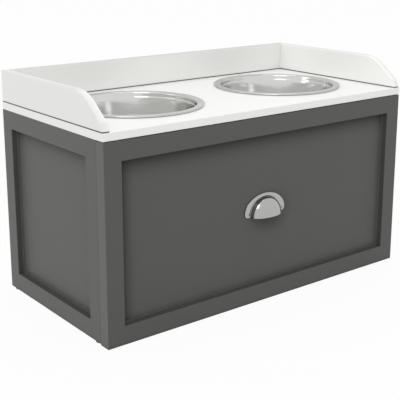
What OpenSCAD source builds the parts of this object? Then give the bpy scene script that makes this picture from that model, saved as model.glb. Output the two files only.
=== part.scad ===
// Raised feeding station: a framed cabinet with one full-width drawer, a top board that
// carries two lift-out bowls, and a low gallery round the back and the ends of the board.
// X runs along the front, Y goes in from the front, Z is up, and the floor is Z = 0.

/* [Cabinet] */
// Width over the two sides
body_w = 600; // [560:5:760]
// Depth from the face of the drawer front to the back edge
body_d = 300; // [290:5:380]
// Height of the top board's underside above the floor
board_z = 302; // [270:1:380]
// Thickness of the top board
board_t = 12; // [11:0.5:18]
// Thickness of each framed side
side_t = 18; // [17:0.5:24]
// Thickness of the base board
base_t = 12; // [12:0.5:18]
// Height of the base board's underside above the lower edge of the sides
base_rise = 3.2; // [2:0.2:6]
// Thickness of the back panel
back_t = 5; // [3:0.5:8]
// Distance from the back edge to the back panel
back_inset = 4; // [3:0.5:5]

/* [Framed panels] */
// Thickness of the drawer front
front_t = 20; // [18:0.5:24]
// Width of the drawer front's stiles
front_stile_w = 28.5; // [26:0.5:45]
// Height of the drawer front's rails
front_rail_h = 28.8; // [26:0.1:45]
// Width of the stiles in the sides
side_stile_w = 27.5; // [26:0.5:32]
// Height of the rails in the sides
side_rail_h = 28.7; // [27:0.1:40]
// Depth of each panel's face behind the face of its frame
recess_d = 11; // [9:0.5:12]
// Depth of the small inner step behind the face of the frame
step_d = 8; // [5:0.5:8.5]
// Width of the small inner step
step_w = 3; // [2:0.5:6]
// Thickness of a panel's tongue
tongue_t = 4; // [3:0.2:4.4]
// Depth of the grooves that hold the panels
groove_d = 6; // [4:0.5:6.5]

/* [Gallery] */
// Height of the gallery above the top board
gallery_h = 50; // [42:1:80]
// Thickness of the gallery boards
gallery_t = 12; // [10:0.5:16]
// Distance from the board's front edge to the foot of the cheeks
cheek_start = 1; // [0.5:0.5:10]
// Slope of the cheek's front edge, in degrees
cheek_slope = 38.5; // [30:0.5:50]
// Height of the cheek's nose
nose_h = 13.5; // [8:0.5:20]
// Distance that the nose leans back over its height
nose_lean = 5.5; // [2:0.5:10]
// Radius of the nose
nose_r = 6; // [3:0.5:8]
// Radius of the cheek's shoulder
shoulder_r = 65; // [40:1:70]

/* [Bowls] */
// Outer diameter of the bowl's rim
rim_d = 220; // [200:1:230]
// Diameter of the bowl's mouth
mouth_d = 196; // [180:1:198]
// Diameter of the flat floor of the bowl
floor_d = 136; // [100:1:140]
// Depth of the bowl from the top of its rim
bowl_depth = 55; // [40:1:65]
// Diameter of the wall where it meets the floor's curve
waist_d = 178; // [172:1:180]
// Height of the rim above the top board
rim_h = 3; // [2.5:0.1:4]
// Thickness of the bowl's steel
bowl_sheet = 1; // [0.8:0.1:1.2]
// Gap between the bowl and its cut-out
bowl_gap = 1.5; // [1:0.1:3]

/* [Drawer box] */
// Thickness of the drawer box's boards
box_t = 12; // [12:0.5:16]
// Thickness of the drawer's bottom
bottom_t = 5; // [3:0.5:6]
// Height of the drawer bottom's groove above the lower edge of the box
bottom_rise = 8; // [6:0.5:12]
// Gap between the base board and the drawer box
box_lift = 6; // [4:0.5:12]
// Free height between the drawer box and the bowls
bowl_headroom = 48; // [20:1:60]
// Gap between the back of the drawer box and the back panel
box_rear_gap = 6; // [5:0.5:20]

/* [Runners] */
// Height of the runner's outer channel
runner_h = 35; // [34:0.5:45]
// Thickness of the closed runner
runner_t = 10; // [9.8:0.1:12]
// Thickness of the runner's steel
runner_sheet = 1.2; // [1:0.1:1.3]
// Length over which the runner stays engaged with the drawer fully out
runner_overlap = 75.6; // [60:0.2:120]
// Diameter of the balls
ball_d = 3.8; // [3:0.1:4]
// Height of the runner's middle above the lower edge of the drawer box
runner_rise = 60; // [30:1:80]
// Balls in each race
balls_per_race = 6; // [3:1:7]

/* [Cup pull] */
// Width of the pull's plate
plate_w = 83; // [78:1:110]
// Height of the pull's plate
plate_h = 35.5; // [34:0.5:50]
// Thickness of the pull's plate
plate_t = 2.8; // [1.8:0.1:3]
// Radius of the cup
cup_r = 28; // [24:0.5:30]
// Distance from the panel to the front of the cup
cup_out = 20; // [16:0.5:24]
// Wall of the cup
cup_wall = 2; // [1.5:0.1:3]
// Straight part of the cup next to its plate
cup_neck = 8.5; // [4:0.5:10]
// Distance between the pull's two screws
pull_screw_span = 69; // [65:0.5:70]
// Height of the pull's screws above the lower edge of its plate
pull_screw_rise = 6; // [5:0.5:8]
// Distance from the middle height of the drawer front down to the plate's lower edge
pull_drop = 10; // [0:1:30]

/* [Fasteners and feet] */
// Diameter of the dowels in the frames
frame_dowel_d = 8; // [6:0.5:8]
// Diameter of the other dowels
dowel_d = 6; // [5:0.5:6]
// Diameter of the cam locks
cam_d = 12; // [11:0.5:12.5]
// Depth of the cam locks
cam_l = 9.5; // [8:0.5:9.5]
// Diameter of the screws' shanks
screw_d = 3.4; // [3:0.1:3.6]
// Diameter of the countersunk screw heads
screw_head_d = 6.8; // [6:0.1:7]
// Diameter of the glides
glide_d = 16; // [12:0.5:17]
// Height of the glides
glide_h = 2.8; // [2:0.1:5]

/* [Hidden] */
// Running fits and gaps
fit = 0.1;
seat_gap = 0.3;
front_gap = 0.4;
front_top_gap = 1;
front_drop = 1.3;
over = 1;
facets = 72;
small_facets = 32;
arc_steps = 10;

// Heights and depths that follow from the sizes above
side_z = glide_h;
side_h = board_z - side_z;
side_y = front_t + front_gap;
side_d = body_d - side_y;
inner_w = body_w - 2 * side_t;
top_z = board_z + board_t;
base_z = side_z + base_rise;
back_y = body_d - back_inset - back_t;
front_z = side_z - front_drop;
front_h = board_z - front_top_gap - front_z;
pull_proud = cup_out - recess_d - fit;
shift_y = -(body_d - pull_proud) / 2;

// Bowls
bowl_x = body_w / 4;
bowl_y = body_d / 2;
bead_r = (rim_h - seat_gap) / 2;
mouth_r = mouth_d / 2;
mouth_turn_r = rim_h;
bowl_floor_z = rim_h - bowl_depth;
floor_turn_r = (waist_d - floor_d) / 2;
cutout_r = mouth_r + bowl_sheet + bowl_gap;
bowl_hang = bowl_depth + bowl_sheet - rim_h - board_t;

// Drawer box
box_w = inner_w - 2 * runner_t;
box_z = base_z + base_t + box_lift;
box_h = board_z - bowl_hang - bowl_headroom - box_z;
box_d = back_y - box_rear_gap - front_t;
box_groove = 5;
box_inner_w = box_w - 2 * box_t;
box_inner_d = box_d - 2 * box_t;

// Runners
runner_end_gap = 3;
runner_front_gap = 2;
runner_y = side_y + runner_front_gap;
runner_l = back_y - runner_end_gap - runner_y;
runner_z = box_z + runner_rise;
runner_travel = runner_l - runner_overlap;
race_gap = ball_d + 2 * fit;
inner_half = runner_h / 2 - runner_sheet - race_gap;
channel_reach = runner_t - runner_sheet;
ball_z = runner_h / 2 - runner_sheet - race_gap / 2;
cage_t = 0.8;
cage_gap = 0.5;
flange_gap = 1.2;
cage_x = runner_sheet + cage_gap;
cage_reach = channel_reach - runner_sheet - seat_gap;
cage_rim = 0.25;
ball_x = cage_reach - cage_rim - (ball_d + fit) / 2;
cage_end_gap = 4;
cage_l = runner_overlap - 2 * cage_end_gap;
cage_y = runner_y + cage_end_gap + runner_travel / 2;
ball_pitch = cage_l / balls_per_race;
runner_screw_inset = 7;
cabinet_screw_l = 14;
drawer_screw_l = 9;

// Screws, dowels and cams
head_h = screw_head_d / 4;
dowel_edge = 14;
frame_dowel_in_stile = 14;
frame_dowel_in_rail = 20;
cam_inset = 75;
cam_drop = 15;
cam_bolt_d = 5;
cam_bolt_head_d = 6.4;
cam_bolt_head_h = 2.4;
cam_bolt_thread_d = 7;
cam_bolt_thread_l = 8;
cam_slot_w = cam_bolt_d + 2 * fit;
cam_cross_l = 7;
cam_cross_w = 1.4;
cam_cross_h = 0.8;
top_dowel_gap = 30;
top_dowel_in_board = 8;
top_dowel_in_rail = 19;
base_dowel_in_side = 10;
base_dowel_in_board = 18;
gallery_screw_l = 38;
corner_dowel_in_cheek = 7;
corner_dowel_in_rail = 16;
box_dowel_in_side = 8;
box_dowel_in_end = 18;
front_screw_l = 18;
back_screw_l = 18;
pan_head_d = 6.4;
pan_head_h = 1.8;
pull_screw_d = 2.8;
pull_screw_head_d = 5;
pull_screw_head_h = 1.4;
pull_screw_l = 9;
nail_d = 1.8;
nail_l = 9;
glide_edge_r = 1;

// Places given as shares of the piece that carries them
cheek_screw_shares = [0.36, 0.82];
rail_screw_shares = [0.12, 0.38, 0.62, 0.88];
box_dowel_shares = [0.2, 0.8];
front_screw_x_shares = [-0.36, 0.36];
front_screw_z_shares = [0.25, 0.8];
back_screw_shares = [-0.4, 0, 0.4];
drawer_runner_screw_shares = [0.06, 0.5, 0.94];

// Colours
cabinet_grey = [0.36, 0.36, 0.35];
panel_grey = [0.34, 0.34, 0.34];
board_white = [0.95, 0.95, 0.94];
raw_board = [0.78, 0.7, 0.58];
bowl_steel = [0.78, 0.79, 0.8];
pull_nickel = [0.69, 0.7, 0.69];
zinc = [0.72, 0.74, 0.77];
beech = [0.85, 0.7, 0.5];
glide_black = [0.1, 0.1, 0.1];

// Points of an arc that rounds the corner at b of the outline a, b, c
function unit(v) = v / norm(v);
function corner(a, b, c, r) =
    let (u = unit(a - b), w = unit(c - b))
    let (half = acos(u * w) / 2, centre = b + unit(u + w) * r / sin(half))
    let (from = b + u * r / tan(half) - centre, to = b + w * r / tan(half) - centre)
    [for (i = [0 : arc_steps]) centre + r * unit(from * (arc_steps - i) + to * i)];

// A sheet of even thickness t on the right-hand side of a line of points
function turn(v) = [v[1], -v[0]];
function way(p, i) = unit(p[min(i + 1, len(p) - 1)] - p[max(i - 1, 0)]);
function sheet(p, t) = concat(
    p,
    [for (i = [len(p) - 1 : -1 : 0]) p[i] + t * turn(way(p, i))]
);

// A closed outline from its upper half, whose lower half is the mirror image
function both(p) = concat(p, [for (i = [len(p) - 1 : -1 : 0]) [p[i][0], -p[i][1]]]);

// Puts what is drawn in cabinet places into the part's own frame
module placed() {
    translate([0, shift_y, 0]) children();
}

// A straight hole or rod along X, Y or Z from a starting point
module rod_x(p, r, l) {
    translate(p) rotate([0, 90, 0]) cylinder(r = r, h = l, $fn = small_facets);
}
module rod_y(p, r, l) {
    translate(p) rotate([-90, 0, 0]) cylinder(r = r, h = l, $fn = small_facets);
}
module rod_z(p, r, l) {
    translate(p) cylinder(r = r, h = l, $fn = small_facets);
}

// A countersunk screw along +Z, its head's flat face at Z = 0; grow makes its hole
module screw(l, grow) {
    cylinder(
        r1 = screw_head_d / 2 + grow, r2 = screw_d / 2 + grow, h = head_h, $fn = small_facets
    );
    cylinder(r = screw_d / 2 + grow, h = l + grow, $fn = small_facets);
    if (grow > 0) {
        translate([0, 0, -over]) cylinder(r = screw_head_d / 2 + grow, h = over, $fn = small_facets);
    }
}

// The five pieces of a framed panel, in a frame with X across it, Y in from its face
// and Z up from its lower edge
module framed_stile(h, t, stile, rail) {
    difference() {
        union() {
            cube([stile, t, h]);
            translate([stile, step_d, rail]) cube([step_w, recess_d - step_d, h - 2 * rail]);
        }
        translate([stile - groove_d, recess_d, rail - groove_d])
            cube([groove_d + over, tongue_t + 2 * fit, h - 2 * (rail - groove_d)]);
        frame_dowels(stile, stile, h, t, fit);
    }
}

module framed_rail(w, h, t, stile, rail) {
    difference() {
        union() {
            translate([stile, 0, 0]) cube([w - 2 * stile, t, rail]);
            translate([stile + step_w, step_d, rail])
                cube([w - 2 * (stile + step_w), recess_d - step_d, step_w]);
        }
        translate([stile - over, recess_d, rail - groove_d])
            cube([w - 2 * (stile - over), tongue_t + 2 * fit, groove_d + over]);
        frame_dowels(stile, stile, h, t, fit);
        frame_dowels(w - stile, stile, h, t, fit, -1);
    }
}

module framed_panel(w, h, t, stile, rail) {
    edge_x = stile - groove_d + fit;
    edge_z = rail - groove_d + fit;
    face_y = recess_d + fit;
    translate([edge_x, face_y, edge_z]) cube([w - 2 * edge_x, tongue_t, h - 2 * edge_z]);
    translate([stile + fit, face_y, rail + fit])
        cube([w - 2 * (stile + fit), t - face_y, h - 2 * (rail + fit)]);
}

// The two dowels at one stile; joint_x is the joint between stile and rails, and side
// is 1 where the rails lie on its +X side
module frame_dowels(joint_x, stile, h, t, grow, side = 1) {
    into_stile = min(frame_dowel_in_stile, stile - frame_dowel_d / 2);
    length = into_stile + frame_dowel_in_rail + 2 * grow;
    for (z = [dowel_edge, h - dowel_edge]) {
        start = side > 0 ? joint_x - into_stile - grow : joint_x - frame_dowel_in_rail - grow;
        rod_x([start, t / 2, z], frame_dowel_d / 2 + grow, length);
    }
}

module flip_x(w) {
    translate([w, 0, 0]) mirror([1, 0, 0]) children();
}
module flip_z(h) {
    translate([0, 0, h]) mirror([0, 0, 1]) children();
}

// A side's own frame: X runs from the back edge to the front, Y in from the outer face
module on_left_side() {
    placed() translate([-body_w / 2, body_d, side_z]) rotate([0, 0, -90]) children();
}
module on_right_side() {
    mirror([1, 0, 0]) on_left_side() children();
}
module on_both_sides() {
    on_left_side() children();
    on_right_side() children();
}

// The drawer front's own frame
module on_drawer_front() {
    placed() translate([-body_w / 2, 0, front_z]) children();
}

// Cam lock with its slot for the bolt's head: its axis is Z, its open face is at Z = 0
// and the bolt comes in along +X
module cam() {
    difference() {
        translate([0, 0, -cam_l]) cylinder(r = cam_d / 2 - fit, h = cam_l - fit, $fn = small_facets);
        translate([0, -cam_slot_w / 2, -cam_l - over])
            cube([cam_d, cam_slot_w, cam_l / 2 + over + cam_slot_w / 2]);
        rod_x(
            [-cam_bolt_head_h / 2 - fit, 0, -cam_l / 2],
            cam_bolt_head_d / 2 + fit, cam_bolt_head_h + 2 * fit
        );
        translate([-cam_cross_l / 2, -cam_cross_w / 2, -cam_cross_h])
            cube([cam_cross_l, cam_cross_w, cam_cross_h]);
        translate([-cam_cross_w / 2, -cam_cross_l / 2, -cam_cross_h])
            cube([cam_cross_w, cam_cross_l, cam_cross_h]);
    }
}
module cam_bore() {
    translate([0, 0, -cam_l]) cylinder(r = cam_d / 2, h = cam_l + over, $fn = small_facets);
}

// Cam bolt along X: its head sits in the cam at X = 0 and its thread starts at X = reach
module cam_bolt(reach, grow) {
    rod_x([-cam_bolt_head_h / 2, 0, 0], cam_bolt_head_d / 2 + grow, cam_bolt_head_h);
    rod_x([0, 0, 0], cam_bolt_d / 2 + grow, reach + over);
    rod_x([reach + grow, 0, 0], cam_bolt_thread_d / 2 + grow, cam_bolt_thread_l);
}
module cam_bolt_bore(reach) {
    rod_x([0, 0, 0], cam_bolt_head_d / 2 + fit, reach + over);
    rod_x([reach, 0, 0], cam_bolt_thread_d / 2 + fit, cam_bolt_thread_l + 2 * fit);
}

// Places of the cams in a side's own frame
module at_top_cams() {
    for (x = [cam_inset, side_d - cam_inset]) {
        translate([x, side_t, side_h - cam_drop]) rotate([-90, 0, 0]) rotate([0, 0, -90]) children();
    }
}
module at_base_cams() {
    for (x = [cam_inset, side_d - cam_inset]) {
        translate([x, side_t + cam_drop, base_rise]) rotate([180, 0, 0]) rotate([0, 0, 90]) children();
    }
}

// Dowels between the sides and the boards, in a side's own frame
module side_dowels(grow) {
    for (x = [side_d / 2 - top_dowel_gap, side_d / 2 + top_dowel_gap]) {
        rod_z(
            [x, side_t / 2, side_h - top_dowel_in_rail - grow],
            dowel_d / 2 + grow, top_dowel_in_rail + top_dowel_in_board + 2 * grow
        );
        rod_y(
            [x, side_t - base_dowel_in_side - grow, base_rise + base_t / 2],
            dowel_d / 2 + grow, base_dowel_in_side + base_dowel_in_board + 2 * grow
        );
    }
}

// Nail-on glides, in a side's own frame
module glide_places() {
    for (x = [side_stile_w / 2, side_d - side_stile_w / 2]) {
        translate([x, side_t / 2, 0]) children();
    }
}

// Screws of the runner channel, in cabinet places on the left side
module channel_screws(grow) {
    for (y = [runner_y + runner_screw_inset, runner_y + runner_l - runner_screw_inset]) {
        translate([-inner_w / 2 + runner_sheet, y, runner_z])
            rotate([0, -90, 0]) screw(cabinet_screw_l, grow);
    }
}

// Screws of the drawer's runner member, in cabinet places on the left side
module slide_screws(grow) {
    for (share = drawer_runner_screw_shares) {
        translate([-inner_w / 2 + runner_t - runner_sheet, runner_y + runner_l * share, runner_z])
            rotate([0, 90, 0]) screw(drawer_screw_l, grow);
    }
}

// Top board, gallery and what fixes the gallery
module gallery_fixings(grow) {
    cheek_x = body_w / 2 - gallery_t / 2;
    for (side = [-1, 1], share = cheek_screw_shares) {
        translate([side * cheek_x, body_d * share, board_z]) screw(gallery_screw_l, grow);
    }
    for (share = rail_screw_shares) {
        translate([body_w * (share - 1 / 2), body_d - gallery_t / 2, board_z])
            screw(gallery_screw_l, grow);
    }
}
module gallery_corner_dowels(grow) {
    joint_x = body_w / 2 - gallery_t;
    length = corner_dowel_in_cheek + corner_dowel_in_rail + 2 * grow;
    for (start = [-joint_x - corner_dowel_in_cheek - grow, joint_x - corner_dowel_in_rail - grow]) {
        rod_x([start, body_d - gallery_t / 2, top_z + gallery_h / 2], dowel_d / 2 + grow, length);
    }
}

module top_board() {
    color(board_white) difference() {
        placed() translate([-body_w / 2, 0, board_z]) cube([body_w, body_d, board_t]);
        placed() for (x = [-bowl_x, bowl_x]) {
            translate([x, bowl_y, board_z - over])
                cylinder(r = cutout_r, h = board_t + 2 * over, $fn = facets);
        }
        placed() gallery_fixings(fit);
        on_both_sides() side_dowels(fit);
        on_both_sides() at_top_cams() translate([0, 0, -cam_l / 2]) cam_bolt_bore(cam_drop);
    }
}

module gallery_back_rail() {
    color(board_white) placed() difference() {
        translate([-body_w / 2 + gallery_t, body_d - gallery_t, top_z])
            cube([body_w - 2 * gallery_t, gallery_t, gallery_h]);
        gallery_fixings(fit);
        gallery_corner_dowels(fit);
    }
}

// The cheek's outline, in Y and in height above the top board
module cheek_outline() {
    foot = [cheek_start, 0];
    nose = [cheek_start + nose_lean, nose_h];
    top = [nose[0] + (gallery_h - nose_h) / tan(cheek_slope), gallery_h];
    rear = [body_d, gallery_h];
    polygon(concat(
        [foot],
        corner(foot, nose, top, nose_r),
        corner(nose, top, rear, shoulder_r),
        [rear, [body_d, 0]]
    ));
}

module left_cheek() {
    placed() difference() {
        translate([-body_w / 2, 0, top_z])
            rotate([90, 0, 90]) linear_extrude(height = gallery_t) cheek_outline();
        gallery_fixings(fit);
        gallery_corner_dowels(fit);
    }
}
module gallery_left_cheek() {
    color(board_white) left_cheek();
}
module gallery_right_cheek() {
    color(board_white) mirror([1, 0, 0]) left_cheek();
}
module gallery_screws() {
    color(zinc) placed() gallery_fixings(0);
}
module gallery_dowels() {
    color(beech) placed() gallery_corner_dowels(0);
}

// Sides. The rear stile is at the start of a side's own X, the front stile at its end
module side_stile_bores() {
    glide_places() rod_z([0, 0, -over], nail_d / 2 + fit, nail_l + over + fit);
    translate([back_inset - fit, side_t - groove_d, -over])
        cube([back_t + 2 * fit, groove_d + over, side_h + 2 * over]);
}
module side_rear_stile() {
    framed_stile(side_h, side_t, side_stile_w, side_rail_h);
}
module side_top_rail() {
    difference() {
        flip_z(side_h) framed_rail(side_d, side_h, side_t, side_stile_w, side_rail_h);
        side_dowels(fit);
        at_top_cams() cam_bore();
        at_top_cams() translate([0, 0, -cam_l / 2]) cam_bolt_bore(cam_drop);
    }
}
module side_bottom_rail() {
    difference() {
        framed_rail(side_d, side_h, side_t, side_stile_w, side_rail_h);
        side_dowels(fit);
        at_base_cams() translate([0, 0, -cam_l / 2]) cam_bolt_bore(cam_drop);
    }
}
module left_side_rear_stile() {
    color(cabinet_grey) difference() {
        on_left_side() difference() {
            side_rear_stile();
            side_stile_bores();
        }
        placed() channel_screws(fit);
    }
}
module left_side_front_stile() {
    color(cabinet_grey) difference() {
        on_left_side() difference() {
            flip_x(side_d) side_rear_stile();
            glide_places() rod_z([0, 0, -over], nail_d / 2 + fit, nail_l + over + fit);
        }
        placed() channel_screws(fit);
    }
}
module left_side_top_rail() {
    color(cabinet_grey) on_left_side() side_top_rail();
}
module left_side_bottom_rail() {
    color(cabinet_grey) on_left_side() side_bottom_rail();
}
module left_side_panel() {
    color(panel_grey) on_left_side()
        framed_panel(side_d, side_h, side_t, side_stile_w, side_rail_h);
}
module right_side_front_stile() {
    mirror([1, 0, 0]) left_side_front_stile();
}
module right_side_rear_stile() {
    mirror([1, 0, 0]) left_side_rear_stile();
}
module right_side_top_rail() {
    mirror([1, 0, 0]) left_side_top_rail();
}
module right_side_bottom_rail() {
    mirror([1, 0, 0]) left_side_bottom_rail();
}
module right_side_panel() {
    mirror([1, 0, 0]) left_side_panel();
}

module side_frame_dowels() {
    color(beech) on_both_sides() {
        frame_dowels(side_stile_w, side_stile_w, side_h, side_t, 0);
        frame_dowels(side_d - side_stile_w, side_stile_w, side_h, side_t, 0, -1);
    }
}
module cabinet_dowels() {
    color(beech) on_both_sides() side_dowels(0);
}
module cam_locks() {
    color(zinc) on_both_sides() {
        at_top_cams() cam();
        at_base_cams() cam();
    }
}
module cam_bolts() {
    color(zinc) on_both_sides() {
        at_top_cams() translate([0, 0, -cam_l / 2]) cam_bolt(cam_drop, 0);
        at_base_cams() translate([0, 0, -cam_l / 2]) cam_bolt(cam_drop, 0);
    }
}

// Base board, back panel and glides
module back_screws(grow) {
    for (share = back_screw_shares) {
        place = [inner_w * share, back_y + back_t, base_z + base_t / 2];
        start = place - [0, back_screw_l + grow, 0];
        rod_y(start, screw_d / 2 + grow, back_screw_l + grow);
        rod_y(place, pan_head_d / 2 + grow, pan_head_h);
    }
}
module base_board() {
    color(raw_board) difference() {
        placed() translate([-inner_w / 2, side_y, base_z]) cube([inner_w, back_y - side_y, base_t]);
        on_both_sides() side_dowels(fit);
        on_both_sides() at_base_cams() cam_bore();
        on_both_sides() at_base_cams() translate([0, 0, -cam_l / 2]) cam_bolt_bore(cam_drop);
        placed() back_screws(fit);
    }
}
module back_panel() {
    panel_w = inner_w + 2 * (groove_d - fit);
    color(raw_board) placed() difference() {
        translate([-panel_w / 2, back_y, side_z]) cube([panel_w, back_t, side_h - fit]);
        back_screws(fit);
    }
}
module back_panel_screws() {
    color(zinc) placed() back_screws(0);
}
module glides() {
    color(glide_black) on_both_sides() glide_places() {
        translate([0, 0, -glide_h]) cylinder(
            r1 = glide_d / 2 - glide_edge_r, r2 = glide_d / 2, h = glide_edge_r, $fn = small_facets
        );
        rod_z([0, 0, -glide_h + glide_edge_r], glide_d / 2, glide_h - glide_edge_r);
        rod_z([0, 0, -glide_edge_r], nail_d / 2, nail_l + glide_edge_r);
    }
}

// Runners, drawn on the left: X runs from the cabinet's side to the drawer's side
module on_left_runner(y) {
    placed() translate([-inner_w / 2, y, runner_z]) children();
}
module along_runner(l) {
    translate([0, l, 0]) rotate([90, 0, 0]) linear_extrude(height = l) children();
}
module channel_section() {
    top = runner_h / 2;
    lip = top - runner_sheet - race_gap / 2 + fit;
    polygon(both([
        [0, top], [channel_reach, top], [channel_reach, lip], [channel_reach - runner_sheet, lip],
        [channel_reach - runner_sheet, top - runner_sheet], [runner_sheet, top - runner_sheet]
    ]));
}
module slide_section() {
    flange_x = cage_x + cage_t + flange_gap;
    polygon(both([
        [runner_t, inner_half], [flange_x, inner_half],
        [flange_x, inner_half - runner_sheet], [runner_t - runner_sheet, inner_half - runner_sheet]
    ]));
}
module cage_section() {
    high = ball_z + cage_t / 2;
    low = ball_z - cage_t / 2;
    polygon(both([[cage_x, high], [cage_reach, high], [cage_reach, low], [cage_x + cage_t, low]]));
}
module at_balls() {
    for (i = [0 : balls_per_race - 1], side = [-1, 1]) {
        translate([ball_x, ball_pitch * (i + 1 / 2), side * ball_z]) children();
    }
}
module runner_channel() {
    color(zinc) difference() {
        on_left_runner(runner_y) along_runner(runner_l) channel_section();
        placed() channel_screws(fit);
    }
}
module runner_slide() {
    color(zinc) difference() {
        on_left_runner(runner_y) along_runner(runner_l) slide_section();
        placed() slide_screws(fit);
    }
}
module ball_cage() {
    color(zinc) on_left_runner(cage_y) difference() {
        along_runner(cage_l) cage_section();
        at_balls() translate([0, 0, -cage_t])
            cylinder(r = ball_d / 2 + fit / 2, h = 2 * cage_t, $fn = small_facets);
    }
}
module balls() {
    color(bowl_steel) on_left_runner(cage_y) at_balls() sphere(d = ball_d, $fn = small_facets);
}
module runner_channel_left() {
    runner_channel();
}
module runner_channel_right() {
    mirror([1, 0, 0]) runner_channel();
}
module runner_slide_left() {
    runner_slide();
}
module runner_slide_right() {
    mirror([1, 0, 0]) runner_slide();
}
module ball_cage_left() {
    ball_cage();
}
module ball_cage_right() {
    mirror([1, 0, 0]) ball_cage();
}
module balls_left() {
    balls();
}
module balls_right() {
    mirror([1, 0, 0]) balls();
}
module runner_channel_screws() {
    for (side = [0, 1]) mirror([side, 0, 0]) color(zinc) placed() channel_screws(0);
}
module runner_slide_screws() {
    for (side = [0, 1]) mirror([side, 0, 0]) color(zinc) placed() slide_screws(0);
}

// Drawer front
module pull_place() {
    placed() translate([0, recess_d + fit, front_z + front_h / 2 - pull_drop]) children();
}
module pull_screw_places() {
    for (side = [-1, 1]) {
        translate([side * pull_screw_span / 2, 0, pull_screw_rise]) children();
    }
}
module front_fixings(grow) {
    for (x = front_screw_x_shares, z = front_screw_z_shares) {
        translate([box_w * x, front_t + box_t, box_z + box_h * z])
            rotate([90, 0, 0]) screw(front_screw_l, grow);
    }
}
module front_stile() {
    framed_stile(front_h, front_t, front_stile_w, front_rail_h);
}
module front_rail() {
    framed_rail(body_w, front_h, front_t, front_stile_w, front_rail_h);
}
module drawer_front_left_stile() {
    color(cabinet_grey) on_drawer_front() front_stile();
}
module drawer_front_right_stile() {
    color(cabinet_grey) on_drawer_front() flip_x(body_w) front_stile();
}
module drawer_front_bottom_rail() {
    color(cabinet_grey) on_drawer_front() front_rail();
}
module drawer_front_top_rail() {
    color(cabinet_grey) on_drawer_front() flip_z(front_h) front_rail();
}
module drawer_front_panel() {
    color(panel_grey) difference() {
        on_drawer_front() framed_panel(body_w, front_h, front_t, front_stile_w, front_rail_h);
        placed() front_fixings(fit);
        pull_place() pull_screw_places()
            rod_y([0, -over, 0], pull_screw_d / 2 + fit, pull_screw_l - plate_t + over);
    }
}
module drawer_front_dowels() {
    color(beech) on_drawer_front() {
        frame_dowels(front_stile_w, front_stile_w, front_h, front_t, 0);
        frame_dowels(body_w - front_stile_w, front_stile_w, front_h, front_t, 0, -1);
    }
}
module drawer_front_screws() {
    color(zinc) placed() front_fixings(0);
}

// Drawer box
module box_dowels(grow) {
    length = box_dowel_in_side + box_dowel_in_end + 2 * grow;
    for (y = [front_t + box_t / 2, front_t + box_d - box_t / 2], share = box_dowel_shares) {
        for (side = [-1, 1]) {
            middle = side * (box_inner_w / 2 + (box_dowel_in_side - box_dowel_in_end) / 2);
            rod_x([middle - length / 2, y, box_z + box_h * share], dowel_d / 2 + grow, length);
        }
    }
}
module bottom_groove() {
    reach = box_groove + fit;
    translate([-box_inner_w / 2 - reach, front_t + box_t - reach, box_z + bottom_rise])
        cube([box_inner_w + 2 * reach, box_inner_d + 2 * reach, bottom_t + 2 * fit]);
}
module box_side() {
    color(raw_board) placed() difference() {
        translate([-box_w / 2, front_t, box_z]) cube([box_t, box_d, box_h]);
        box_dowels(fit);
        bottom_groove();
        slide_screws(fit);
    }
}
module box_end(y) {
    color(raw_board) placed() difference() {
        translate([-box_inner_w / 2, y, box_z]) cube([box_inner_w, box_t, box_h]);
        box_dowels(fit);
        bottom_groove();
        front_fixings(fit);
    }
}
module drawer_box_left_side() {
    box_side();
}
module drawer_box_right_side() {
    mirror([1, 0, 0]) box_side();
}
module drawer_box_inner_front() {
    box_end(front_t);
}
module drawer_box_back() {
    box_end(front_t + box_d - box_t);
}
module drawer_box_bottom() {
    color(raw_board) placed()
        translate([-box_inner_w / 2 - box_groove, front_t + box_t - box_groove, box_z + bottom_rise + fit])
            cube([box_inner_w + 2 * box_groove, box_inner_d + 2 * box_groove, bottom_t]);
}
module drawer_box_dowels() {
    color(beech) placed() box_dowels(0);
}

// Cup pull: a plate with a rounded top and a half-round cup, open at the bottom and the back
module plate_outline() {
    steps = 4 * arc_steps;
    foot_r = pull_screw_rise;
    half = plate_w / 2;
    polygon(concat(
        [for (i = [0 : steps]) let (a = 180 * i / steps)
            [half * cos(a), foot_r + (plate_h - foot_r) * sin(a)]],
        [for (i = [1 : arc_steps]) let (a = 180 + 90 * i / arc_steps)
            [-half + foot_r + foot_r * cos(a), foot_r + foot_r * sin(a)]],
        [for (i = [0 : arc_steps - 1]) let (a = 270 + 90 * i / arc_steps)
            [half - foot_r + foot_r * cos(a), foot_r + foot_r * sin(a)]]
    ));
}
module cup_section() {
    cap = cup_out - cup_neck;
    outer = [for (i = [0 : arc_steps]) let (a = 90 * i / arc_steps)
        [cup_r * cos(a), cup_neck + cap * sin(a)]];
    inner = [for (i = [arc_steps : -1 : 0]) let (a = 90 * i / arc_steps)
        [(cup_r - cup_wall) * cos(a), cup_neck + (cap - cup_wall) * sin(a)]];
    polygon(concat([[cup_r, 0]], outer, inner, [[cup_r - cup_wall, 0]]));
}
module cup_pull() {
    color(pull_nickel) pull_place() rotate([90, 0, 0]) {
        difference() {
            linear_extrude(height = plate_t) plate_outline();
            translate([0, 0, -over])
                cylinder(r = cup_r - cup_wall / 2, h = plate_t + 2 * over, $fn = facets);
            for (side = [-1, 1]) {
                translate([side * pull_screw_span / 2, pull_screw_rise, -over])
                    cylinder(r = pull_screw_d / 2 + fit, h = plate_t + 2 * over, $fn = small_facets);
            }
        }
        rotate_extrude(angle = 180, $fn = facets) cup_section();
    }
}
module pull_screws() {
    color(pull_nickel) pull_place() pull_screw_places() {
        rod_y([0, -plate_t, 0], pull_screw_d / 2, pull_screw_l - fit);
        rod_y([0, -plate_t - pull_screw_head_h, 0], pull_screw_head_d / 2, pull_screw_head_h);
    }
}

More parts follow.
